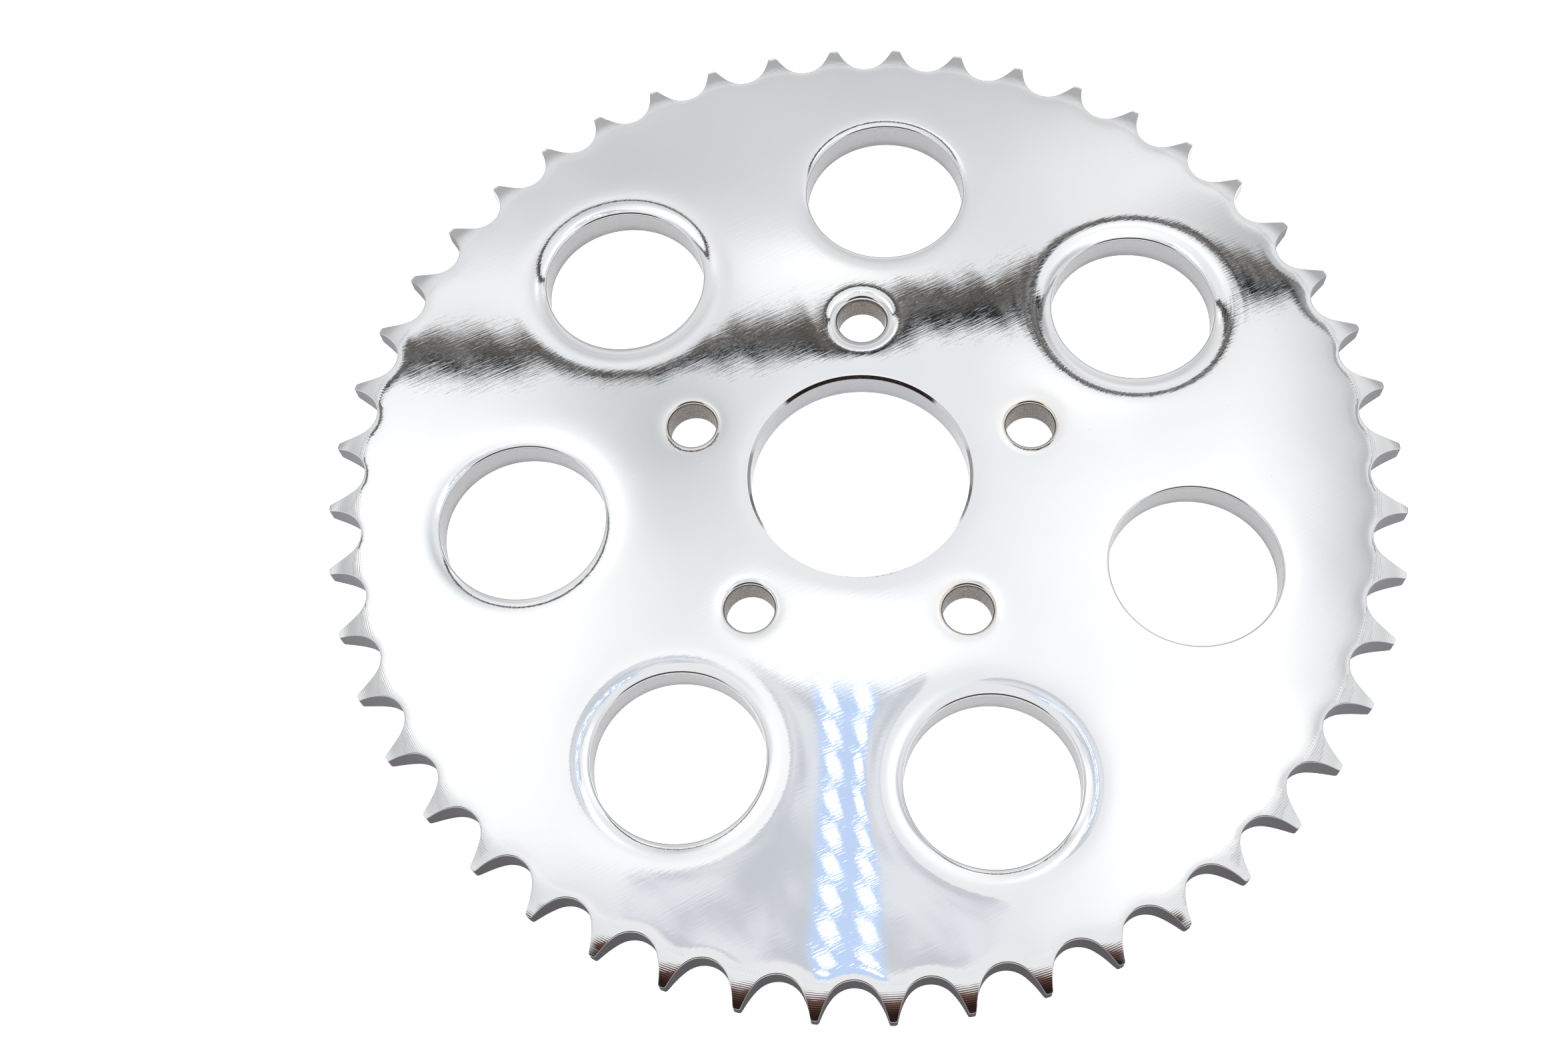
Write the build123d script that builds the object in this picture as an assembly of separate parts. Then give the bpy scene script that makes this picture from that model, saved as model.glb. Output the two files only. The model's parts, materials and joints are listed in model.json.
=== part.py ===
"""Rear sprocket of a motorcycle: one toothed steel plate for a roller chain.

The plate lies on its back face. The origin is the centre of the bore on that face, +Z runs along the
bore's axis and out of the polished front face, and the index bolt hole lies on +Y. Sizes are in
millimetres and degrees.
"""
import os
from math import acos, asin, cos, degrees, isclose, pi, radians, sin, sqrt

from build123d import *

# Chain and teeth
chain_pitch = 15.875
roller_diameter = 10.16
seat_play = 1.65            # what a roller seat is wider than a roller
tooth_count = 48
tip_height = 2.2            # from the pitch circle to the tooth tips
tip_width = 3.9             # plate thickness that the side reliefs leave at the tips
tip_corner_radius = 0.5     # between a tooth's flank and its tip
relief_radius = 15.875      # side relief, an arc tangent to the plate's face

# Plate
plate_thickness = 7.94
rim_width = 18.24           # solid ring between the tooth roots and the lightening holes
hub_ring_width = 12.2       # solid ring between the bolt holes and the lightening holes

# Bore and bolt circle
bore_diameter = 50.42
bore_chamfer = 0.7
bolt_count = 5
bolt_circle_diameter = 82.55
bolt_hole_diameter = 11.3
bolt_front_radius = 0.8
bolt_back_radius = 0.4
index_angle = 90.0          # the index hole lies on +Y
index_dish_width = 2.6      # ring of the shallow countersink round the index hole
index_dish_depth = 0.5

# Lightening holes
lightening_count = 7
lightening_offset = -3.9    # angle from the index hole to the nearest lightening hole
lightening_front_radius = 0.6
lightening_back_radius = 0.4

cut_margin = 1.0            # how far a cut runs past the face that it opens

# Sizes that follow from those above
pitch_radius = chain_pitch / 2 / sin(pi / tooth_count)
seat_radius = (roller_diameter + seat_play) / 2
root_radius = pitch_radius - seat_radius
tip_radius = pitch_radius + tip_height
bore_radius = bore_diameter / 2
bolt_hole_radius = bolt_hole_diameter / 2
bolt_circle_radius = bolt_circle_diameter / 2
lightening_inner = bolt_circle_radius + bolt_hole_radius + hub_ring_width
lightening_outer = root_radius - rim_width
lightening_radius = (lightening_outer - lightening_inner) / 2
lightening_circle_radius = (lightening_outer + lightening_inner) / 2


def tooth_gap():
    """One gap between two teeth, on +Y: the standard form for roller chain.

    On each side the roller seat runs into a concave working arc, a short straight and a convex topping arc.
    """
    working_angle = 35 + 60 / tooth_count
    working_sweep = 18 - 56 / tooth_count
    working_radius = seat_radius + 0.8 * roller_diameter
    straight_heading = 90 - working_angle + working_sweep
    uphill = Vector(cos(radians(straight_heading)), sin(radians(straight_heading)))
    topping_centre = Vector(cos(pi / tooth_count), -sin(pi / tooth_count)) * 1.4 * roller_diameter

    seat = JernArc((0, -seat_radius), (1, 0), seat_radius, 90 - working_angle)
    working = JernArc(seat @ 1, seat % 1, working_radius, working_sweep)
    straight_length = (topping_centre - working @ 1).dot(uphill)
    straight = Line(working @ 1, working @ 1 + uphill * straight_length)
    topping_radius = (topping_centre - straight @ 1).length
    mouth = tip_height + cut_margin
    mouth_heading = degrees(acos(uphill.X + (mouth - (straight @ 1).Y) / topping_radius))
    topping = JernArc(straight @ 1, uphill, topping_radius, mouth_heading - straight_heading)
    half = Curve() + [seat, working, straight, topping, Line(topping @ 1, (0, mouth))]
    return Pos(0, pitch_radius) * make_face(half + mirror(half, about=Plane.YZ))


def toothed_outline():
    """The plate in plan, with a gap on +Y and rounded corners on its teeth."""
    outline = Circle(tip_radius) - PolarLocations(0, tooth_count) * tooth_gap()
    corners = [v for v in outline.vertices() if isclose(Vector(*v).length, tip_radius, abs_tol=1e-3)]
    return fillet(corners, tip_corner_radius)


def turned_blank():
    """The plate as it is turned before its teeth are cut, with a side relief on both faces."""
    relief_depth = (plate_thickness - tip_width) / 2
    relief_width = sqrt(relief_radius**2 - (relief_radius - relief_depth) ** 2)
    relief_start = tip_radius - relief_width
    relief_sweep = degrees(asin((relief_width + cut_margin) / relief_radius))
    back = JernArc((relief_start, 0), (1, 0), relief_radius, relief_sweep)
    front = JernArc((relief_start, plate_thickness), (1, 0), relief_radius, -relief_sweep)
    inside = Polyline(front @ 0, (0, plate_thickness), (0, 0), back @ 0)
    section = make_face(Curve() + [inside, back, Line(back @ 1, front @ 1), front])
    return revolve(Plane.XZ * section, Axis.Z)


def through_hole(radius):
    """A round cutter that runs past both faces of the plate."""
    return Pos(0, 0, plate_thickness / 2) * Cylinder(radius, plate_thickness + 2 * cut_margin)


def rims(plate, radius, height):
    """The plate's round edges of one radius at one height."""
    circles = plate.edges().filter_by(GeomType.CIRCLE)
    return [
        edge
        for edge in circles
        if isclose(edge.radius, radius, abs_tol=1e-3) and isclose(edge.arc_center.Z, height, abs_tol=1e-3)
    ]


def index_dish():
    """The cutter of the shallow countersink round the index hole."""
    flare = index_dish_width / index_dish_depth
    height = index_dish_depth + cut_margin
    cone = Cone(bolt_hole_radius, bolt_hole_radius + flare * height, height)
    return Pos(0, bolt_circle_radius, plate_thickness - index_dish_depth + height / 2) * cone


def sprocket():
    """The whole plate."""
    teeth = Pos(0, 0, -cut_margin) * extrude(toothed_outline(), plate_thickness + 2 * cut_margin)
    plate = turned_blank() & teeth

    bolt_places = PolarLocations(bolt_circle_radius, bolt_count, start_angle=index_angle)
    lightening_places = PolarLocations(
        lightening_circle_radius, lightening_count, start_angle=index_angle + lightening_offset
    )
    plate -= through_hole(bore_radius)
    plate -= bolt_places * through_hole(bolt_hole_radius)
    plate -= lightening_places * through_hole(lightening_radius)
    plate -= index_dish()

    plate = fillet(rims(plate, lightening_radius, plate_thickness), lightening_front_radius)
    plate = fillet(rims(plate, lightening_radius, 0), lightening_back_radius)
    plate = fillet(rims(plate, bolt_hole_radius, plate_thickness), bolt_front_radius)
    plate = fillet(rims(plate, bolt_hole_radius, 0), bolt_back_radius)
    bore_rims = rims(plate, bore_radius, plate_thickness) + rims(plate, bore_radius, 0)
    return chamfer(bore_rims, bore_chamfer)


parts = {"sprocket": sprocket()}

os.makedirs("parts", exist_ok=True)
for node, shape in parts.items():
    export_step(shape, f"parts/{node}.step")
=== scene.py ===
import json
from math import cos, degrees, pi, radians, sin, sqrt, tau

import bpy
import numpy as np
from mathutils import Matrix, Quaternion, Vector, geometry, kdtree


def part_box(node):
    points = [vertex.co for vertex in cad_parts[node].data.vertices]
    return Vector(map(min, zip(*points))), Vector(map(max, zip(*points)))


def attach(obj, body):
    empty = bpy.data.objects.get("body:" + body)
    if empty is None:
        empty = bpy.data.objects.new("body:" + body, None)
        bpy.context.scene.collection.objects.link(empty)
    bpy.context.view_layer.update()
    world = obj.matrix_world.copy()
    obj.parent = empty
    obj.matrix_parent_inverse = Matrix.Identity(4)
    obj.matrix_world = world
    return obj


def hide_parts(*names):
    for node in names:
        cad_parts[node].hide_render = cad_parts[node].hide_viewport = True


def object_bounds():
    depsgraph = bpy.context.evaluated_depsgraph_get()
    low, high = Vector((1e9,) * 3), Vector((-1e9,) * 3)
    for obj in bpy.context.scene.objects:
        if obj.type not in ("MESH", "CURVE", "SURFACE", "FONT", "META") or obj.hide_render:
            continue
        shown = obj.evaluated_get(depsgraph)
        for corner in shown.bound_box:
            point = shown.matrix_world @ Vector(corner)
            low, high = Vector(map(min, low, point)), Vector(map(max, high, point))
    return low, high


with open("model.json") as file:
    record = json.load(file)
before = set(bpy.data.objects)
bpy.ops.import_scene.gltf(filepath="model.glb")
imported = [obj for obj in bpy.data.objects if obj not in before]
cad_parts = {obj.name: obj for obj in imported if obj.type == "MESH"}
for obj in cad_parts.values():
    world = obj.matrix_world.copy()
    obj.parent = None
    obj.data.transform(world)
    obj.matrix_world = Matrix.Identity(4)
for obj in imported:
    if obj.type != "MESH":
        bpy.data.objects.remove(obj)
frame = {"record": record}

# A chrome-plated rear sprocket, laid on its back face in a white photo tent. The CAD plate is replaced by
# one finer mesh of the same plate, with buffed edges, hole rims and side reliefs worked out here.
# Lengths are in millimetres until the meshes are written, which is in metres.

MM = 0.001
NODE = "sprocket"
cad_low, cad_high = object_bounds()
record = frame["record"]
mounts = {mount["name"]: mount["dims"] for mount in record["mounts"]}

# Sizes that the frame gives
node_low, node_high = (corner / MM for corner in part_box(NODE))
thickness = node_high.z - node_low.z
bore_radius = mounts["center_bore"]["r_mm"]
bolt_circle_radius = mounts["bolt_circle"]["pcd_mm"] / 2
bolt_hole_radius = mounts["bolt_circle"]["hole_r_mm"]
bolt_count = mounts["bolt_circle"]["count"]
pitch_radius = mounts["chain_teeth"]["pcd_mm"] / 2
tooth_count = mounts["chain_teeth"]["count"]
lightening_boxes = [o["box_m"] for o in record["physics"]["openings"] if o["name"].startswith("lightening")]
lightening_centres = [(np.add(*box) / 2 / MM)[:2] for box in lightening_boxes]
bolt_angles = [pi / 2 + tau * i / bolt_count for i in range(bolt_count)]
bolt_centres = [bolt_circle_radius * np.array((cos(a), sin(a))) for a in bolt_angles]

# Sizes of the plate's form, as the CAD part has them
roller_diameter = 10.16
seat_radius = (roller_diameter + 1.65) / 2
tip_radius = pitch_radius + 2.2
tip_corner_radius = 0.5
relief_radius = 15.875
relief_depth = 2.02
relief_start = tip_radius - sqrt(relief_radius**2 - (relief_radius - relief_depth) ** 2)
lightening_radius = 19.05

# Rounding of each rim: how far it reaches over the face, which is also how far it reaches down the wall
root_edge = 0.45
tip_edge = 0.12
edge_change_height = 5      # from the root, over which the first becomes the second
bore_edge = 0.7
bolt_front_edge = 0.8
bolt_back_edge = 0.4
lightening_front_edge = 0.6
lightening_back_edge = 0.4

# Hand buffing dishes the front face towards its rims, a little differently at each: the slope at the
# rim's rounding, and the distance over which it dies away. The lightening holes go clockwise from the top.
lightening_dishes = [
    (0.12, 1.2), (0.24, 1.8), (0.14, 2.4), (0.21, 2.1), (0.21, 2.0), (0.04, 1.4), (0.17, 2.4),
]
bolt_dish = (0.05, 1.2)
bore_dish = (0.06, 1.6)
root_dish = (0.05, 1.0)
rim_dish = (0.02, 1.2)
index_dish_width = 4.2
index_dish_slope = 0.42
buffed_angle = 68           # how far round a rim the buffing reaches
chamfer_tilt = radians(43)  # the bore's 45 degree chamfer, less what the dish leans it

face_spacing = 1.7          # between the points of the faces
tooth_spacing = 0.8         # the same on the teeth
collar_offsets = (0.4, 0.9, 1.5, 2.2, 3.1, 4.2)
index_collar_offsets = (0.25, 0.5, 0.75, 1.0, 1.25, 1.5, 1.8, 2.1, 2.4, 2.7, 3.0, 3.4, 3.8, 4.3)
rounding_steps = 6
wall_steps = 3
bore_steps = 176            # round each hole
bolt_hole_steps = 64
lightening_steps = 128


# ---------------------------------------------------------------- outlines


class Outline:
    """A closed outline in plan: its points, the directions out of the metal there, and its rims."""

    def __init__(self, points, outward, front_edge, back_edge, wall_slot, wall_from=90, profile="round"):
        self.points = np.array(points)
        self.outward = np.array(outward)
        self.front_edge = front_edge * np.ones(len(points))
        self.back_edge = back_edge * np.ones(len(points))
        self.wall_slot = wall_slot
        self.wall_from = wall_from
        self.profile = profile

    def inset(self, distance):
        return self.points - self.outward * np.reshape(distance * np.ones(len(self.points)), (-1, 1))


def arc(centre, radius, start, end, steps, convex):
    """Points and outward directions along an arc, without its last point. Angles are in radians."""
    angles = start + (end - start) * np.arange(steps) / steps
    out = np.stack([np.cos(angles), np.sin(angles)], 1)
    return np.asarray(centre) + radius * out, out if convex else -out


def angle_of(vector):
    return np.arctan2(vector[1], vector[0])


def half_gap():
    """From the bottom of the gap on +Y to the middle of the next tooth, towards +X.

    The roller seat, the working arc, a straight, the topping arc, the tip's rounded corner and the tip.
    """
    half_pitch = pi / tooth_count
    seat_centre = np.array((0, pitch_radius))
    working_angle = radians(35 + 60 / tooth_count)
    working_sweep = radians(18 - 56 / tooth_count)
    straight_angle = working_angle - working_sweep
    working_offset = 0.8 * roller_diameter
    working_radius = seat_radius + working_offset
    working_centre = seat_centre + working_offset * np.array((-cos(working_angle), sin(working_angle)))
    across = np.array((cos(straight_angle), -sin(straight_angle)))
    uphill = np.array((sin(straight_angle), cos(straight_angle)))
    working_end = working_centre + working_radius * across
    topping_offset = 1.4 * roller_diameter
    topping_centre = seat_centre + topping_offset * np.array((cos(half_pitch), -sin(half_pitch)))
    straight_length = (topping_centre - working_end) @ uphill
    straight_end = working_end + straight_length * uphill
    topping_radius = np.linalg.norm(topping_centre - straight_end)

    # The corner's circle touches the topping arc and the tip circle from inside
    near, far = topping_radius - tip_corner_radius, tip_radius - tip_corner_radius
    reach = np.linalg.norm(topping_centre)
    along = (reach**2 + far**2 - near**2) / (2 * reach)
    axis = topping_centre / reach
    side = np.array((-axis[1], axis[0]))
    corner_centre = axis * along + side * sqrt(far**2 - along**2)

    topping_start = angle_of(straight_end - topping_centre) % tau
    topping_end = angle_of(corner_centre - topping_centre) % tau
    corner_end = angle_of(corner_centre)
    pieces = [
        arc(seat_centre, seat_radius, -pi / 2, -working_angle, 7, False),
        arc(working_centre, working_radius, -working_angle, -straight_angle, 4, False),
        (np.linspace(working_end, straight_end, 3)[:-1], np.tile(across * -1, (2, 1))),
        arc(topping_centre, topping_radius, topping_start, topping_end, 2, True),
        arc(corner_centre, tip_corner_radius, topping_end, corner_end, 4, True),
        arc((0, 0), tip_radius, corner_end, pi / 2 - half_pitch, 2, True),
    ]
    middle = np.array((sin(half_pitch), cos(half_pitch)))
    points = np.concatenate([p for p, _ in pieces] + [[middle * tip_radius]])
    outward = np.concatenate([n for _, n in pieces] + [[middle]])
    return points, outward


def toothed_outline():
    """All the teeth, anticlockwise."""
    points, outward = half_gap()
    flip = np.array((-1, 1))
    gap_points = np.concatenate([points[::-1], points[1:-1] * flip])
    gap_outward = np.concatenate([outward[::-1], outward[1:-1] * flip])
    all_points, all_outward = [], []
    for tooth in range(tooth_count):
        turn = tau * tooth / tooth_count
        rotation = np.array(((cos(turn), sin(turn)), (-sin(turn), cos(turn))))
        all_points.append(gap_points @ rotation)
        all_outward.append(gap_outward @ rotation)
    points = np.concatenate(all_points)
    up_the_tooth = np.clip((np.hypot(*points.T) - pitch_radius + seat_radius) / edge_change_height, 0, 1)
    edge = root_edge + (tip_edge - root_edge) * up_the_tooth
    return Outline(points, np.concatenate(all_outward), edge, edge, "flank")


def round_outline(centre, radius, steps, front_edge, back_edge, wall_slot, **finish):
    """A hole's outline goes clockwise, with the metal on its left as for the teeth."""
    points, out = arc(centre, radius, tau, 0, steps, False)
    return Outline(points, out, front_edge, back_edge, wall_slot, **finish)


teeth = toothed_outline()
bore = round_outline((0, 0), bore_radius, bore_steps, bore_edge, bore_edge, "bore", profile="chamfer")
bolt_form = (bolt_hole_radius, bolt_hole_steps, bolt_front_edge, bolt_back_edge, "drilled")
bolt_holes = [round_outline(c, *bolt_form, wall_from=buffed_angle) for c in bolt_centres]
lightening_form = (lightening_radius, lightening_steps, lightening_front_edge, lightening_back_edge, "wall")
lightening_holes = [round_outline(c, *lightening_form, wall_from=buffed_angle) for c in lightening_centres]
outlines = [teeth, bore, *bolt_holes, *lightening_holes]


# ---------------------------------------------------------------- heights of the two faces


def relief(x, y):
    """How far the side relief takes the face down. Past the tips it stays short of the arc's end."""
    over = np.clip(np.hypot(x, y) - relief_start, 0, relief_radius * 0.9)
    return relief_radius - np.sqrt(relief_radius**2 - over**2)


def dish(distance, slope_and_reach):
    """A dish whose slope dies away from the rim. distance is from where the rim's rounding starts."""
    slope, reach = slope_and_reach
    outside = slope * reach * np.exp(-np.clip(distance, 0, None) / reach)
    return outside - slope * np.clip(distance, None, 0)


def gap_distance(x, y):
    """Distance from the nearest roller seat, folded onto the gap on +Y."""
    radius = np.hypot(x, y)
    pitch_angle = tau / tooth_count
    angle = (np.arctan2(x, y) + pitch_angle / 2) % pitch_angle - pitch_angle / 2
    return np.hypot(radius * np.sin(angle), radius * np.cos(angle) - pitch_radius) - seat_radius


def waves(x, y):
    """The slow unevenness that buffing leaves in a flat face, as waves of a few lengths and headings."""
    total = 0
    for length, heading, phase, height in (
        (83, 0.4, 0.7, 0.016),
        (57, 1.9, 2.1, 0.008),
        (39, 2.7, 4.0, 0.004),
        (27, 1.1, 5.2, 0.0018),
        (19, 0.1, 1.3, 0.0010),
    ):
        total = total + height * np.sin(tau * (x * cos(heading) + y * sin(heading)) / length + phase)
    return total


def index_dish(x, y):
    """The deeper dish round the index hole, whose slope grows towards the hole."""
    distance = np.hypot(x - bolt_centres[0][0], y - bolt_centres[0][1]) - bolt_hole_radius - bolt_front_edge
    inside = np.clip(index_dish_width - distance, 0, None)
    return index_dish_slope * inside**5 / (5 * index_dish_width**4)


def front_height(x, y):
    drop = relief(x, y) + waves(x, y) + index_dish(x, y)
    for (cx, cy), form in zip(lightening_centres, lightening_dishes):
        drop = drop + dish(np.hypot(x - cx, y - cy) - lightening_radius - lightening_front_edge, form)
    for cx, cy in bolt_centres:
        drop = drop + dish(np.hypot(x - cx, y - cy) - bolt_hole_radius - bolt_front_edge, bolt_dish)
    drop = drop + dish(np.hypot(x, y) - bore_radius - bore_edge, bore_dish)
    drop = drop + dish(gap_distance(x, y) - root_edge, root_dish)
    drop = drop + dish(relief_start - np.hypot(x, y), rim_dish)
    return thickness - drop


def back_height(x, y):
    return relief(x, y)


def upright(height, x, y):
    """The unit vectors square to a height function's surface, pointing up."""
    step = 0.02
    slope_x = (height(x + step, y) - height(x - step, y)) / (2 * step)
    slope_y = (height(x, y + step) - height(x, y - step)) / (2 * step)
    up = np.stack([-slope_x, -slope_y, np.ones_like(x)], 1)
    return up / np.linalg.norm(up, axis=1, keepdims=True)


# ---------------------------------------------------------------- the plate's mesh


class MeshParts:
    """Points with their normals, and faces with the name of their material slot."""

    def __init__(self):
        self.points, self.normals, self.faces, self.slots = [], [], [], []
        self.count = 0

    def add_points(self, points, normals):
        start = self.count
        self.points.append(points)
        self.normals.append(normals / np.linalg.norm(normals, axis=1, keepdims=True))
        self.count += len(points)
        return start + np.arange(len(points))

    def add_strip(self, upper, lower, slot):
        """Quads between two closed rings of the same length."""
        quads = np.stack([upper, lower, np.roll(lower, -1), np.roll(upper, -1)], 1)
        self.faces += quads.tolist()
        self.slots += [slot] * len(quads)


def edge_profile(profile):
    """Steps over a rim as (part of the edge left over the face, part of it gone down the wall, tilt).

    A chamfer's slant starts and ends a little inside its edge, so that its shading is flat.
    """
    if profile == "chamfer":
        slanted = [(0.95, 0.03), (0.5, 0.5), (0.03, 0.95)]
        return [(1, 0, 0)] + [(over, down, chamfer_tilt) for over, down in slanted] + [(0, 1, pi / 2)]
    return [(1 - sin(t), 1 - cos(t), t) for t in np.linspace(0, pi / 2, rounding_steps + 1)]


def add_wall(parts, outline):
    """The rings of an outline from the front face down to the back face. Returns its first and last ring."""
    out3 = np.column_stack([outline.outward, np.zeros(len(outline.outward))])
    steps = edge_profile(outline.profile)
    rings = []
    for edge, height, sign in (
        (outline.front_edge, front_height, 1),
        (outline.back_edge, back_height, -1),
    ):
        side = []
        for over, down, tilt in steps:
            xy = outline.inset(edge * over)
            z = height(*xy.T) - sign * edge * down
            normals = sin(tilt) * out3 + sign * cos(tilt) * upright(height, *xy.T)
            side.append((np.column_stack([xy, z]), normals))
        rings.append(side)
    front, back = rings
    top, bottom = front[-1][0], back[-1][0]
    walls = [(top + (bottom - top) * i / wall_steps, out3) for i in range(1, wall_steps)]
    indexes = [parts.add_points(*ring) for ring in front + walls + back[::-1]]
    tilts = [degrees(step[2]) for step in steps[1:]]
    tilts = tilts + [90] * wall_steps + tilts[::-1]
    over_edge = "chamfer" if outline.profile == "chamfer" else "polish"
    for i, tilt in enumerate(tilts):
        slot = outline.wall_slot if tilt > outline.wall_from - 1 else over_edge
        parts.add_strip(indexes[i], indexes[i + 1], slot)
    return indexes[0], indexes[-1]


def collar(outline, front):
    """Rings of points round a hole, close enough to carry its dish."""
    edge = outline.front_edge if front else outline.back_edge
    offsets = index_collar_offsets if outline is bolt_holes[0] and front else collar_offsets
    return np.concatenate([outline.inset(edge + offset) for offset in offsets])


def inner_points():
    """Points for the inside of a face: rings of even spacing, closer on the teeth."""
    points = []
    radius = bore_radius + face_spacing
    ring_spacing = face_spacing * 0.9
    while radius < relief_start - 1:
        steps = round(tau * radius / face_spacing)
        angles = tau * (np.arange(steps) + 0.5 * (len(points) % 2)) / steps
        points.append(radius * np.stack([np.cos(angles), np.sin(angles)], 1))
        radius += ring_spacing
    steps = tooth_count * round(tau * pitch_radius / tooth_count / tooth_spacing)
    for radius in np.arange(relief_start - 0.5, tip_radius, tooth_spacing):
        angles = pi / 2 + tau * (np.arange(steps) + 0.5 * (len(points) % 2)) / steps
        points.append(radius * np.stack([np.cos(angles), np.sin(angles)], 1))
    return np.concatenate(points)


def inside_metal(points, front, margin):
    """Which points lie in the face's flat part, at least margin from its holes."""

    def edge(outline):
        return outline.front_edge if front else outline.back_edge

    rim = teeth.inset(edge(teeth))
    rim_angles = np.arctan2(rim[:, 1], rim[:, 0])
    order = np.argsort(rim_angles)
    reach = np.interp(
        np.arctan2(points[:, 1], points[:, 0]), rim_angles[order], np.hypot(*rim[order].T), period=tau
    )
    keep = np.hypot(*points.T) < reach
    for outline in outlines[1:]:
        centre = outline.points.mean(0)
        radius = np.linalg.norm(outline.points[0] - centre)
        keep &= np.hypot(*(points - centre).T) > radius + edge(outline)[0] + margin
    return keep


def add_face(parts, rings, front):
    """Fills a face between the outlines' rings with triangles."""
    inner = inner_points()
    reach = collar_offsets[-1] + 0.4 * face_spacing if front else 0.6 * face_spacing
    inner = inner[inside_metal(inner, front, reach)]
    if front:
        inner = np.concatenate([inner] + [collar(hole, front) for hole in outlines[1:]])
    rim = teeth.inset(teeth.front_edge)
    tree = kdtree.KDTree(len(rim))
    for i, (x, y) in enumerate(rim):
        tree.insert((x, y, 0), i)
    tree.balance()
    near_rim = np.hypot(*inner.T) > relief_start - 2
    clear = [
        not near or tree.find((x, y, 0))[2] > 0.5 * tooth_spacing
        for near, (x, y) in zip(near_rim, inner)
    ]
    inner = inner[np.array(clear)]

    height = front_height if front else back_height
    normals = upright(height, *inner.T) * (1 if front else -1)
    inner_indexes = parts.add_points(np.column_stack([inner, height(*inner.T)]), normals)
    every = np.concatenate(parts.points)
    indexes = np.concatenate(rings + [inner_indexes])
    flat = [Vector(p) for p in every[indexes][:, :2].tolist()]
    edges, start = [], 0
    for ring in rings:
        n = len(ring)
        edges += [(start + i, start + (i + 1) % n) for i in range(n)]
        start += n
    made, _, triangles, origins, _, _ = geometry.delaunay_2d_cdt(flat, edges, [], 0, 1e-7)
    if len(made) != len(flat):
        raise RuntimeError("the outlines of a face cross each other")
    own = np.array([indexes[o[0]] for o in origins])
    triangles = own[np.array(triangles)]
    middles = every[triangles][:, :, :2].mean(1)
    triangles = triangles[inside_metal(middles, front, 0)]
    if not front:
        triangles = triangles[:, ::-1]
    parts.faces += triangles.tolist()
    middles = every[triangles][:, :, :2].mean(1)
    on_teeth = np.hypot(*middles.T) > relief_start
    parts.slots += ["relief" if tooth else "polish" for tooth in on_teeth]


def build_plate():
    parts = MeshParts()
    front_rings, back_rings = [], []
    for outline in outlines:
        first, last = add_wall(parts, outline)
        front_rings.append(first)
        back_rings.append(last)
    add_face(parts, front_rings, True)
    add_face(parts, back_rings, False)

    mesh = bpy.data.meshes.new("chrome_sprocket")
    mesh.from_pydata((np.concatenate(parts.points) * MM).tolist(), [], parts.faces)
    names = list(materials)
    for material in materials.values():
        mesh.materials.append(material)
    mesh.polygons.foreach_set("material_index", [names.index(s) for s in parts.slots])
    mesh.polygons.foreach_set("use_smooth", [True] * len(mesh.polygons))
    mesh.validate()
    mesh.normals_split_custom_set_from_vertices(np.concatenate(parts.normals).tolist())
    mesh.update()
    plate = bpy.data.objects.new("chrome_sprocket", mesh)
    bpy.context.scene.collection.objects.link(plate)
    return plate


# ---------------------------------------------------------------- materials


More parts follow.
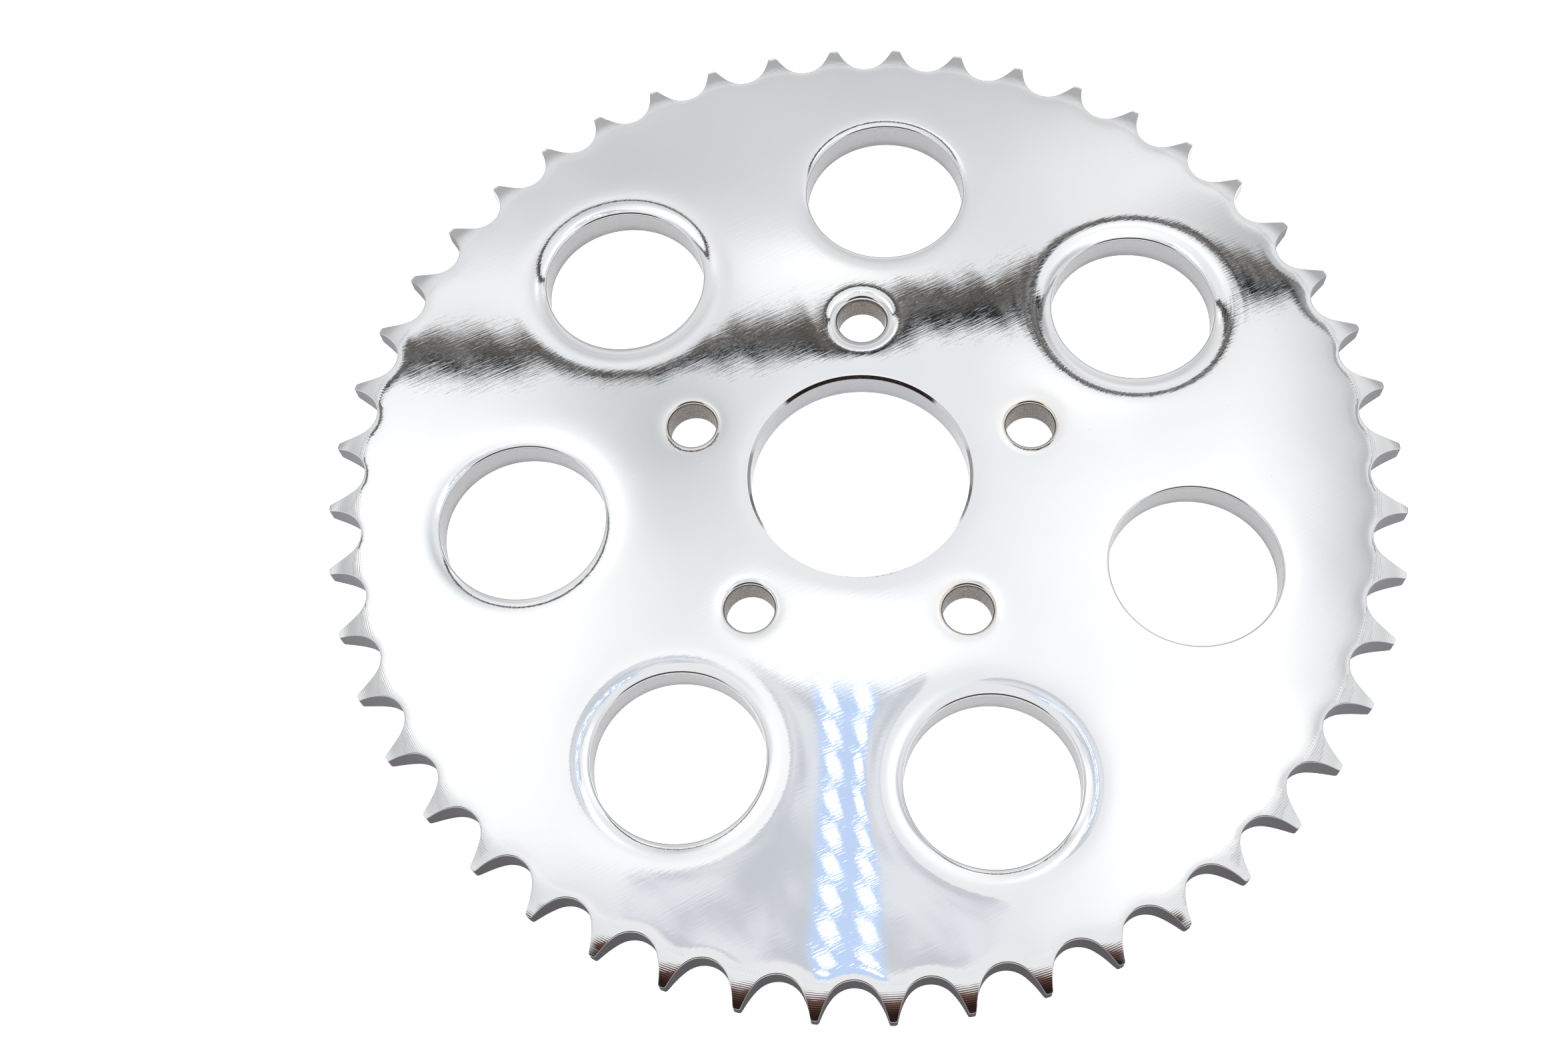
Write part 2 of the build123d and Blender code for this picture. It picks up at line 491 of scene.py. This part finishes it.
class Shader:
    """A material's node tree, built by short calls."""

    def __init__(self, name):
        self.material = bpy.data.materials.new(name)
        self.material.use_nodes = True
        self.tree = self.material.node_tree
        self.surface = self.tree.nodes["Principled BSDF"]
        place = self.node("ShaderNodeTexCoord").outputs["Object"]
        self.place = self.vector("MULTIPLY", place, (1 / MM, 1 / MM, 1 / MM))

    def node(self, kind, inputs=(), **settings):
        made = self.tree.nodes.new(kind)
        for key, value in settings.items():
            setattr(made, key, value)
        for key, value in dict(inputs).items():
            if isinstance(value, bpy.types.NodeSocket):
                self.tree.links.new(value, made.inputs[key])
            else:
                made.inputs[key].default_value = value
        return made

    def math(self, operation, a, b=0.0):
        return self.node("ShaderNodeMath", {0: a, 1: b}, operation=operation).outputs[0]

    def vector(self, operation, a, b):
        return self.node("ShaderNodeVectorMath", {0: a, 1: b}, operation=operation).outputs[0]

    def length(self, vector):
        return self.node("ShaderNodeVectorMath", {0: vector}, operation="LENGTH").outputs["Value"]

    def axis(self, vector, letter):
        return self.node("ShaderNodeSeparateXYZ", {"Vector": vector}).outputs[letter]

    def join(self, **parts):
        """A vector of the parts given by their axes, X, Y and Z."""
        return self.node("ShaderNodeCombineXYZ", parts).outputs[0]

    def noise(self, place, size, detail=2.0, rough=0.5, distortion=0.0):
        """Noise whose blobs are about size millimetres."""
        inputs = {"Vector": place, "Scale": 1 / size}
        inputs |= {"Detail": detail, "Roughness": rough, "Distortion": distortion}
        return self.node("ShaderNodeTexNoise", inputs).outputs["Fac"]

    def stretched(self, heading, along, across):
        """Coordinates turned to a heading in degrees, and scaled so that noise of size 1 has these sizes."""
        inputs = {"Vector": self.place, "Angle": radians(-heading)}
        turned = self.node("ShaderNodeVectorRotate", inputs, rotation_type="Z_AXIS").outputs[0]
        return self.vector("MULTIPLY", turned, (1 / along, 1 / across, 1 / across))

    def ramp(self, value, low, high, to_low=0.0, to_high=1.0):
        inputs = {"Value": value, "From Min": low, "From Max": high, "To Min": to_low, "To Max": to_high}
        return self.node("ShaderNodeMapRange", inputs, interpolation_type="SMOOTHSTEP").outputs["Result"]

    def mix(self, amount, a, b):
        made = self.node("ShaderNodeMix", {"Factor": amount}, data_type="RGBA")
        for socket, value in ((made.inputs[6], a), (made.inputs[7], b)):
            if isinstance(value, bpy.types.NodeSocket):
                self.tree.links.new(value, socket)
            else:
                socket.default_value = (*value, 1)
        return made.outputs[2]

    def pits(self, spacing, size, share):
        """Specks in some of the cells of a loose grid: spacing in millimetres, size as a part of it."""
        cells = self.node("ShaderNodeTexVoronoi", {"Vector": self.place, "Scale": 1 / spacing})
        chosen = self.node("ShaderNodeSeparateColor", {"Color": cells.outputs["Color"]}).outputs[0]
        speck = self.ramp(cells.outputs["Distance"], size, 0.0)
        return self.math("MULTIPLY", speck, self.math("GREATER_THAN", chosen, 1 - share))

    def bump(self, height, millimetres, normal=None):
        inputs = {"Height": height, "Distance": millimetres * MM, "Strength": 1.0}
        if normal is not None:
            inputs["Normal"] = normal
        return self.node("ShaderNodeBump", inputs).outputs["Normal"]

    def finish(self, metallic=1.0, **inputs):
        self.surface.inputs["Metallic"].default_value = metallic
        for key, value in inputs.items():
            socket = self.surface.inputs[key.replace("_", " ")]
            if isinstance(value, bpy.types.NodeSocket):
                self.tree.links.new(value, socket)
            else:
                socket.default_value = value
        return self.material


CHROME = (0.86, 0.87, 0.88)
HAZE = (0.90, 0.78, 0.60)
hazed_holes = (1, 3, 4)     # bolt holes, anticlockwise from the index hole
haze_reach = 4.0


def polished_chrome():
    """Mirror-buffed plate: hair-fine buffing strokes, a few pits, and amber haze round the bolt holes."""
    s = Shader("polished_chrome")
    bend = s.noise(s.place, 45, detail=1)
    strokes = s.stretched(heading=28, along=9, across=0.42)
    strokes = s.vector("ADD", strokes, s.join(Y=s.math("MULTIPLY", bend, 9.0)))
    stroke = s.noise(strokes, 1, detail=3, rough=0.6)
    orange_peel = s.noise(s.place, 5, detail=1)
    normal = s.bump(orange_peel, 0.0012)
    normal = s.bump(stroke, 0.0022, normal)
    normal = s.bump(s.pits(4.5, 0.035, 0.55), 0.01, normal)
    rough = s.ramp(s.noise(s.place, 9, detail=4), 0.35, 0.75, 0.008, 0.028)
    colour = s.mix(s.ramp(s.noise(s.place, 22, detail=2), 0.4, 0.7), CHROME, (0.84, 0.855, 0.875))
    for hole in hazed_holes:
        away = s.length(s.vector("SUBTRACT", s.place, (*bolt_centres[hole], thickness)))
        away = s.math("ADD", away, s.math("MULTIPLY", s.noise(s.place, 3), 3.0))
        haze = s.ramp(away, bolt_hole_radius + haze_reach, bolt_hole_radius, 0.0, 0.7)
        colour = s.mix(haze, colour, HAZE)
    return s.finish(Base_Color=colour, Roughness=rough, Normal=normal)


groove_pitch = 0.42


def relieved_chrome():
    """The teeth's side reliefs: plated over the turning grooves, which run round the plate."""
    s = Shader("relieved_chrome")
    radius = s.length(s.vector("MULTIPLY", s.place, (1, 1, 0)))
    groove = s.math("SINE", s.math("MULTIPLY", radius, tau / groove_pitch))
    uneven = s.noise(s.place, 2.5, detail=3)
    grooves = s.math("MULTIPLY", groove, uneven)
    normal = s.bump(grooves, 0.008)
    normal = s.bump(s.pits(1.6, 0.12, 0.12), 0.03, normal)
    rough = s.ramp(s.noise(s.place, 3, detail=3), 0.3, 0.7, 0.05, 0.13)
    return s.finish(Base_Color=(*CHROME, 1), Roughness=rough, Normal=normal)


def satin_steel(name, light, dark, rough_low, rough_high, grain=0.45, bump=0.01):
    """Plated over a sawn or milled wall: fine grain with dark specks, and painted shade that darkens the wall
    towards its bottom.
    """
    s = Shader(name)
    fine = s.noise(s.place, grain, detail=4, rough=0.65)
    broad = s.noise(s.place, 5, detail=2)
    # Painted shade: the colour goes from light at the top of the wall to dark at its bottom, standing in for
    # the shade low in holes and gaps
    deep = s.math("ADD", s.axis(s.place, "Z"), s.math("MULTIPLY", broad, 2.0))
    colour = s.mix(s.ramp(deep, 0.6, 4.2), dark, light)
    speck = s.ramp(s.noise(s.place, grain * 0.7, detail=1), 0.68, 0.76)
    colour = s.mix(s.math("MULTIPLY", speck, 0.5), colour, (0.12, 0.11, 0.11))
    rough = s.ramp(fine, 0.3, 0.7, rough_low, rough_high)
    return s.finish(Base_Color=colour, Roughness=rough, Normal=s.bump(fine, bump))


feed_ring_pitch = 0.9


def drilled_steel():
    """Bolt-hole walls: the plating hardly reaches in, so they are brown-grey with drill feed rings."""
    s = Shader("drilled_steel")
    wobble = s.noise(s.place, 4, detail=2)
    depth = s.math("ADD", s.axis(s.place, "Z"), s.math("MULTIPLY", wobble, 0.8))
    ring = s.math("SINE", s.math("MULTIPLY", depth, tau / feed_ring_pitch))
    fine = s.noise(s.place, 0.4, detail=4)
    colour = s.mix(s.ramp(fine, 0.3, 0.7), (0.24, 0.22, 0.205), (0.15, 0.135, 0.125))
    normal = s.bump(fine, 0.008, s.bump(ring, 0.02))
    return s.finish(Base_Color=colour, Roughness=s.ramp(fine, 0.3, 0.7, 0.28, 0.42), Normal=normal)


materials = {
    "polish": polished_chrome(),
    "relief": relieved_chrome(),
    "flank": satin_steel("tooth_flank_chrome", (0.40, 0.395, 0.41), (0.33, 0.325, 0.34), 0.26, 0.40),
    "wall": satin_steel("hole_wall_chrome", (0.36, 0.36, 0.37), (0.24, 0.24, 0.245), 0.30, 0.45),
    "drilled": drilled_steel(),
    "bore": satin_steel("bore_wall_chrome", (0.33, 0.335, 0.35), (0.26, 0.262, 0.27), 0.18, 0.28),
    "chamfer": satin_steel(
        "bore_chamfer_chrome", (0.66, 0.65, 0.65), (0.60, 0.60, 0.60), 0.05, 0.10, bump=0.002
    ),
}

plate = build_plate()
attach(plate, "root")
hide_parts(NODE)


# ---------------------------------------------------------------- camera

camera_place = Vector((8.4, -192.8, 396.4))
camera_target = Vector((-17.1, -12.5, 8.0))
camera_roll = -7.18
camera_lens = 43.36

camera_data = bpy.data.cameras.new("camera")
camera_data.lens = camera_lens
camera = bpy.data.objects.new("camera", camera_data)
camera.location = camera_place * MM
aim = (camera_target - camera_place).to_track_quat("-Z", "Y")
camera.rotation_mode = "QUATERNION"
camera.rotation_quaternion = aim @ Quaternion((0, 0, 1), radians(camera_roll))
bpy.context.scene.collection.objects.link(camera)
bpy.context.scene.camera = camera


# ---------------------------------------------------------------- studio

# The tent round the sprocket is a dome that only mirror rays meet. What it shows is laid out on a chart:
# the place on a flat plate, in millimetres from the bore's centre, where the camera sees it mirrored.
dome_radius = 30.0          # in metres, as the layers of cards inside it are
slot_layer = dome_radius * 0.98
panel_layer = dome_radius * 0.97
lights_layer = dome_radius * 0.96
mirror_height = camera_place.z - thickness


def dome_point(x, y, radius):
    """Where on a sphere of this radius the chart's place (x, y) is, in metres."""
    ray = Vector((x - camera_place.x, y - camera_place.y, mirror_height))
    return tuple(ray.normalized() * radius)


def plain_mesh_object(name, points, faces):
    mesh = bpy.data.meshes.new(name)
    mesh.from_pydata(points, [], faces)
    made = bpy.data.objects.new(name, mesh)
    bpy.context.scene.collection.objects.link(made)
    return made


def mirrored_card(name, points, faces, material):
    """A card of the studio that only mirror rays meet."""
    card = plain_mesh_object(name, points, faces)
    card.data.materials.append(material)
    card.visible_camera = False
    card.visible_diffuse = False
    card.visible_shadow = False
    card.visible_transmission = False
    return card


def glow(name):
    """A material that only gives light. Its Emission node is returned with its shader."""
    s = Shader(name)
    s.tree.nodes.remove(s.surface)
    light = s.node("ShaderNodeEmission")
    s.tree.links.new(light.outputs[0], s.tree.nodes["Material Output"].inputs["Surface"])
    return s, light


def plain_glow(name, colour, strength):
    s, light = glow(name)
    light.inputs["Color"].default_value = (*colour, 1)
    light.inputs["Strength"].default_value = strength
    return s.material


# Soft patches of the tent on the chart: place, half sizes, how much brighter or darker, and tint
tent_brightness = 0.93
tent_wobble = (14, 8)       # how far the patches' edges wander
tent_patches = [
    ((-112, -20), (62, 55), 0.45, (1, 1, 1)),
    ((-85, -75), (60, 60), 0.25, (1, 1, 1)),
    ((80, -30), (65, 75), 0.30, (1, 1, 1)),
    ((78, -88), (40, 40), 0.30, (1, 1, 1)),
    ((-48, 14), (34, 40), -0.24, (1, 0.98, 0.97)),
    ((-2, -42), (34, 22), 0.45, (1, 1, 1)),
    ((52, 26), (22, 14), 0.20, (1, 1, 1)),
    ((-25, -75), (40, 30), 0.10, (1, 1, 1)),
    ((0, 130), (190, 75), -0.25, (1, 1, 1)),
    ((-62, 84), (48, 26), -0.12, (1, 1, 1)),
    ((75, 85), (45, 30), 0.15, (1, 1, 1)),
    ((98, 66), (30, 22), -0.36, (1, 1, 1)),
    ((-88, 50), (40, 12), 0.14, (1, 1, 1)),
    ((-12, 56), (28, 12), 0.30, (1, 1, 1)),
    ((124, -15), (30, 95), -0.42, (1, 1, 1)),
    ((-430, -60), (330, 420), -0.38, (1, 1, 1)),
    ((460, -60), (330, 420), -0.20, (1, 1, 1)),
    ((-60, -104), (34, 18), -0.14, (1, 0.97, 0.88)),
]


# The dark room over the tent's open front: the near part, and what lies lower behind it
rooms = [((20, -455), (270, 150)), ((0, -720), (800, 200))]


def tent_material():
    s, light = glow("tent")
    up = s.math("MAXIMUM", s.axis(s.place, "Z"), 1.0)

    def chart_axis(letter, shift):
        slope = s.math("DIVIDE", s.axis(s.place, letter), up)
        return s.math("ADD", s.math("MULTIPLY", slope, mirror_height), shift)

    chart = s.join(X=chart_axis("X", camera_place.x), Y=chart_axis("Y", camera_place.y))
    wobble = s.noise(chart, 40, detail=2)
    wobble_x, wobble_y = (s.math("MULTIPLY", wobble, size) for size in tent_wobble)
    wobbled = s.vector("ADD", chart, s.join(X=wobble_x, Y=wobble_y))

    def patch(place, size):
        middle = (place[0] + tent_wobble[0] / 2, place[1] + tent_wobble[1] / 2, 0)
        away = s.vector("DIVIDE", s.vector("SUBTRACT", wobbled, middle), (*size, 1))
        return s.ramp(s.length(away), 1.25, 0.0)

    colour = s.vector("ADD", (tent_brightness,) * 3, (0, 0.004, 0.012))
    for place, size, change, tint in tent_patches:
        amount = s.join(**dict.fromkeys("XYZ", patch(place, size)))
        part = s.vector("MULTIPLY", amount, tuple(change * t for t in tint))
        colour = s.vector("ADD", colour, part)

    # The tent is greyer low down at the back
    y = s.axis(chart, "Y")
    back = s.ramp(y, 130, 420, 1.0, 0.50)
    colour = s.vector("MULTIPLY", colour, s.join(**dict.fromkeys("XYZ", back)))

    # The dark room, the camera and whoever holds it, over the tent's open front
    room = s.math("MAXIMUM", patch(*rooms[0]), patch(*rooms[1]))
    room_colour = s.mix(s.ramp(y, -330, -470), (0.15, 0.075, 0.06), (0.025, 0.013, 0.01))
    colour = s.mix(s.ramp(room, 0.0, 0.07), colour, room_colour)
    s.tree.links.new(colour, light.inputs["Color"])
    return s.material


def add_tent():
    rings, steps = 24, 64
    points, faces = [], []
    for i in range(rings):
        height = pi / 2 * i / rings
        for j in range(steps):
            turn = tau * j / steps
            points.append((cos(height) * cos(turn), cos(height) * sin(turn), sin(height)))
    points = [tuple(c * dome_radius for c in p) for p in points] + [(0, 0, dome_radius)]
    for i in range(rings - 1):
        for j in range(steps):
            a, b = i * steps + j, i * steps + (j + 1) % steps
            faces.append((a, b, b + steps, a + steps))
    top = (rings - 1) * steps
    faces += [(top + j, top + (j + 1) % steps, len(points) - 1) for j in range(steps)]
    mirrored_card("tent", points, faces, tent_material())


# The slot in the tent, as the chart shows it: its middle line, and half of its width
slot_line = [
    (-235, -260, 16), (-215, -120, 12), (-185, -20, 10), (-150, 24, 8), (-118, 33, 6), (-95, 32, 5.5),
    (-75, 33, 5), (-55, 32.5, 4.5), (-40, 36, 5), (-22, 37.5, 6), (-8, 37, 7), (6, 43, 7), (22, 46, 7.5),
    (38, 48, 7), (55, 49, 6), (72, 50, 6), (88, 52, 7), (102, 53, 6.5), (130, 48, 8), (165, 16, 10),
    (195, -60, 12), (215, -260, 16),
]
slot_steps = 240            # along the whole line
slot_smoothing = 9          # steps over which its bends are evened out


def slot_material():
    """Dark cloth and the room beyond: brown above, grey folds, and nearly black green-blue below."""
    s, light = glow("tent_slot")
    uv = s.node("ShaderNodeTexCoord").outputs["UV"]
    wave = s.noise(s.vector("MULTIPLY", uv, (26, 1.2, 1)), 1, detail=5, rough=0.6)
    fold = s.noise(s.vector("MULTIPLY", uv, (9, 5, 1)), 1, detail=4, rough=0.6, distortion=0.6)
    across = s.math("ADD", s.axis(uv, "Y"), s.math("MULTIPLY", s.math("SUBTRACT", wave, 0.5), 1.1))
    grey = s.mix(s.ramp(fold, 0.42, 0.58), (0.10, 0.095, 0.09), (0.34, 0.33, 0.33))
    colour = s.mix(s.ramp(across, 0.30, 0.36), (0.014, 0.020, 0.024), grey)
    colour = s.mix(s.ramp(across, 0.54, 0.60), colour, (0.050, 0.045, 0.042))
    colour = s.mix(s.ramp(across, 0.62, 0.68), colour, s.mix(fold, (0.085, 0.072, 0.060), (0.20, 0.18, 0.16)))
    along = s.axis(uv, "X")
    ends = s.math("MAXIMUM", s.ramp(along, 0.17, 0.04), s.ramp(along, 0.80, 0.86))
    lines = s.ramp(s.math("SINE", s.math("MULTIPLY", across, 19)), 0.6, 1.0)
    colour = s.mix(ends, colour, s.mix(lines, (0.50, 0.52, 0.53), (0.30, 0.32, 0.33)))
    s.tree.links.new(colour, light.inputs["Color"])
    return s.material


def add_slot():
    knots = np.array(slot_line, float)
    fine = np.linspace(0, len(knots) - 1, slot_steps)
    x, y, half = (np.interp(fine, np.arange(len(knots)), column) for column in knots.T)
    smooth = np.ones(slot_smoothing) / slot_smoothing
    x, y, half = (
        np.convolve(np.pad(values, slot_smoothing // 2, "edge"), smooth, "valid") for values in (x, y, half)
    )
    dx, dy = np.gradient(x), np.gradient(y)
    length = np.hypot(dx, dy)
    nx, ny = -dy / length, dx / length
    # The ragged edges: long ripples that come and go, and short even ones
    ragged = 1.2 * np.sin(fine * 5.1) * np.sin(fine * 1.7 + 1) + 0.7 * np.sin(fine * 11.3)
    points = []
    for i in range(len(fine)):
        for side in (-1, 1):
            reach = side * half[i] + (ragged[i] if side > 0 else 0.8 * ragged[-i - 1])
            points.append(dome_point(x[i] + nx[i] * reach, y[i] + ny[i] * reach, slot_layer))
    faces = [(2 * i, 2 * i + 2, 2 * i + 3, 2 * i + 1) for i in range(len(fine) - 1)]
    slot = mirrored_card("tent_slot", points, faces, slot_material())
    layer = slot.data.uv_layers.new(name="across")
    for loop in slot.data.loops:
        layer.data[loop.index].uv = ((loop.vertex_index // 2) / len(fine), loop.vertex_index % 2)


# The lamp over the tent's front: a pale panel with two rows of small lights, in a grey-blue housing
housing_corners = [
    (-46, -121), (28, -122), (33, -97), (18, -54), (-28, -54), (-36, -76), (-46, -92), (-49, -106),
]
lamp_low, lamp_high = (-10, -135), (6, -53)
lamp_columns = (-6, 2.5)
lamp_first, lamp_pitch, lamp_rows = -56, -7.4, 10
lamp_size = 1.7             # radius of one light


def housing_material():
    s, light = glow("lamp_housing")
    blotch = s.noise(s.place, 900, detail=3)
    colour = s.mix(s.ramp(blotch, 0.35, 0.65), (0.66, 0.68, 0.72), (0.89, 0.90, 0.93))
    s.tree.links.new(colour, light.inputs["Color"])
    return s.material


def add_housing():
    corners = [dome_point(x, y, slot_layer) for x, y in housing_corners]
    mirrored_card("lamp_housing", corners, [tuple(range(len(corners)))], housing_material())


def add_lamp():
    (x0, y0), (x1, y1) = lamp_low, lamp_high
    corners = [dome_point(x, y, panel_layer) for x, y in ((x0, y0), (x1, y0), (x1, y1), (x0, y1))]
    mirrored_card("lamp_panel", corners, [(0, 1, 2, 3)], plain_glow("lamp_panel", (0.62, 0.77, 1.05), 1.0))
    points, faces, sides = [], [], 12
    for row in range(lamp_rows):
        for x in lamp_columns:
            y = lamp_first + lamp_pitch * row
            start = len(points)
            for j in range(sides):
                turn = tau * j / sides
                edge_x, edge_y = x + lamp_size * cos(turn), y + lamp_size * sin(turn)
                points.append(dome_point(edge_x, edge_y, lights_layer))
            faces.append(tuple(range(start, start + sides)))
    mirrored_card("lamp_lights", points, faces, plain_glow("lamp_lights", (1, 1, 1), 3.0))


# Painted shade: a dark glowing card in front of the teeth that stands in for the floor's shadow there
painted_shadow_reach = (105, 330)     # its inner and outer radius round the bore's axis
painted_shadow_half_angle = 125       # from straight in front
painted_shadow_depth = 0.00003        # below the sprocket, in metres, and the same for the floor
floor_depth = 0.00005


def painted_floor_shadow_material():
    """Painted shade: dark in front, lighter towards the sides."""
    s, light = glow("front_flag")
    colour = s.mix(s.ramp(s.axis(s.place, "Y"), -125, 10), (0.20, 0.185, 0.195), (0.62, 0.62, 0.64))
    s.tree.links.new(colour, light.inputs["Color"])
    return s.material


def add_painted_floor_shadow():
    """A dark sheet of painted shade lying in front and round the sides, standing in for the floor's shadow
    there, which the tooth flanks above it mirror.
    """
    steps = 40
    z = cad_low.z - painted_shadow_depth
    points = []
    for turn in np.radians(np.linspace(-90 - painted_shadow_half_angle, -90 + painted_shadow_half_angle, steps)):
        points += [(r * MM * cos(turn), r * MM * sin(turn), z) for r in painted_shadow_reach]
    faces = [(2 * i, 2 * i + 1, 2 * i + 3, 2 * i + 2) for i in range(steps - 1)]
    mirrored_card("front_flag", points, faces, painted_floor_shadow_material())


def add_floor():
    half, z = dome_radius, cad_low.z - floor_depth
    points = [(-half, -half, z), (half, -half, z), (half, half, z), (-half, half, z)]
    floor = plain_mesh_object("floor", points, [(0, 1, 2, 3)])
    material = bpy.data.materials.new("floor")
    material.use_nodes = True
    surface = material.node_tree.nodes["Principled BSDF"]
    surface.inputs["Base Color"].default_value = (0.93, 0.93, 0.93, 1)
    surface.inputs["Roughness"].default_value = 0.9
    surface.inputs["Emission Color"].default_value = (1, 1, 1, 1)
    surface.inputs["Emission Strength"].default_value = 0.7
    floor.data.materials.append(material)


def add_world():
    world = bpy.data.worlds.new("studio")
    world.use_nodes = True
    world.node_tree.nodes["Background"].inputs["Color"].default_value = (1, 1, 1, 1)
    world.node_tree.nodes["Background"].inputs["Strength"].default_value = 1.12
    bpy.context.scene.world = world


add_tent()
add_slot()
add_housing()
add_lamp()
add_painted_floor_shadow()
add_floor()
add_world()
bpy.context.scene.view_settings.view_transform = "Standard"
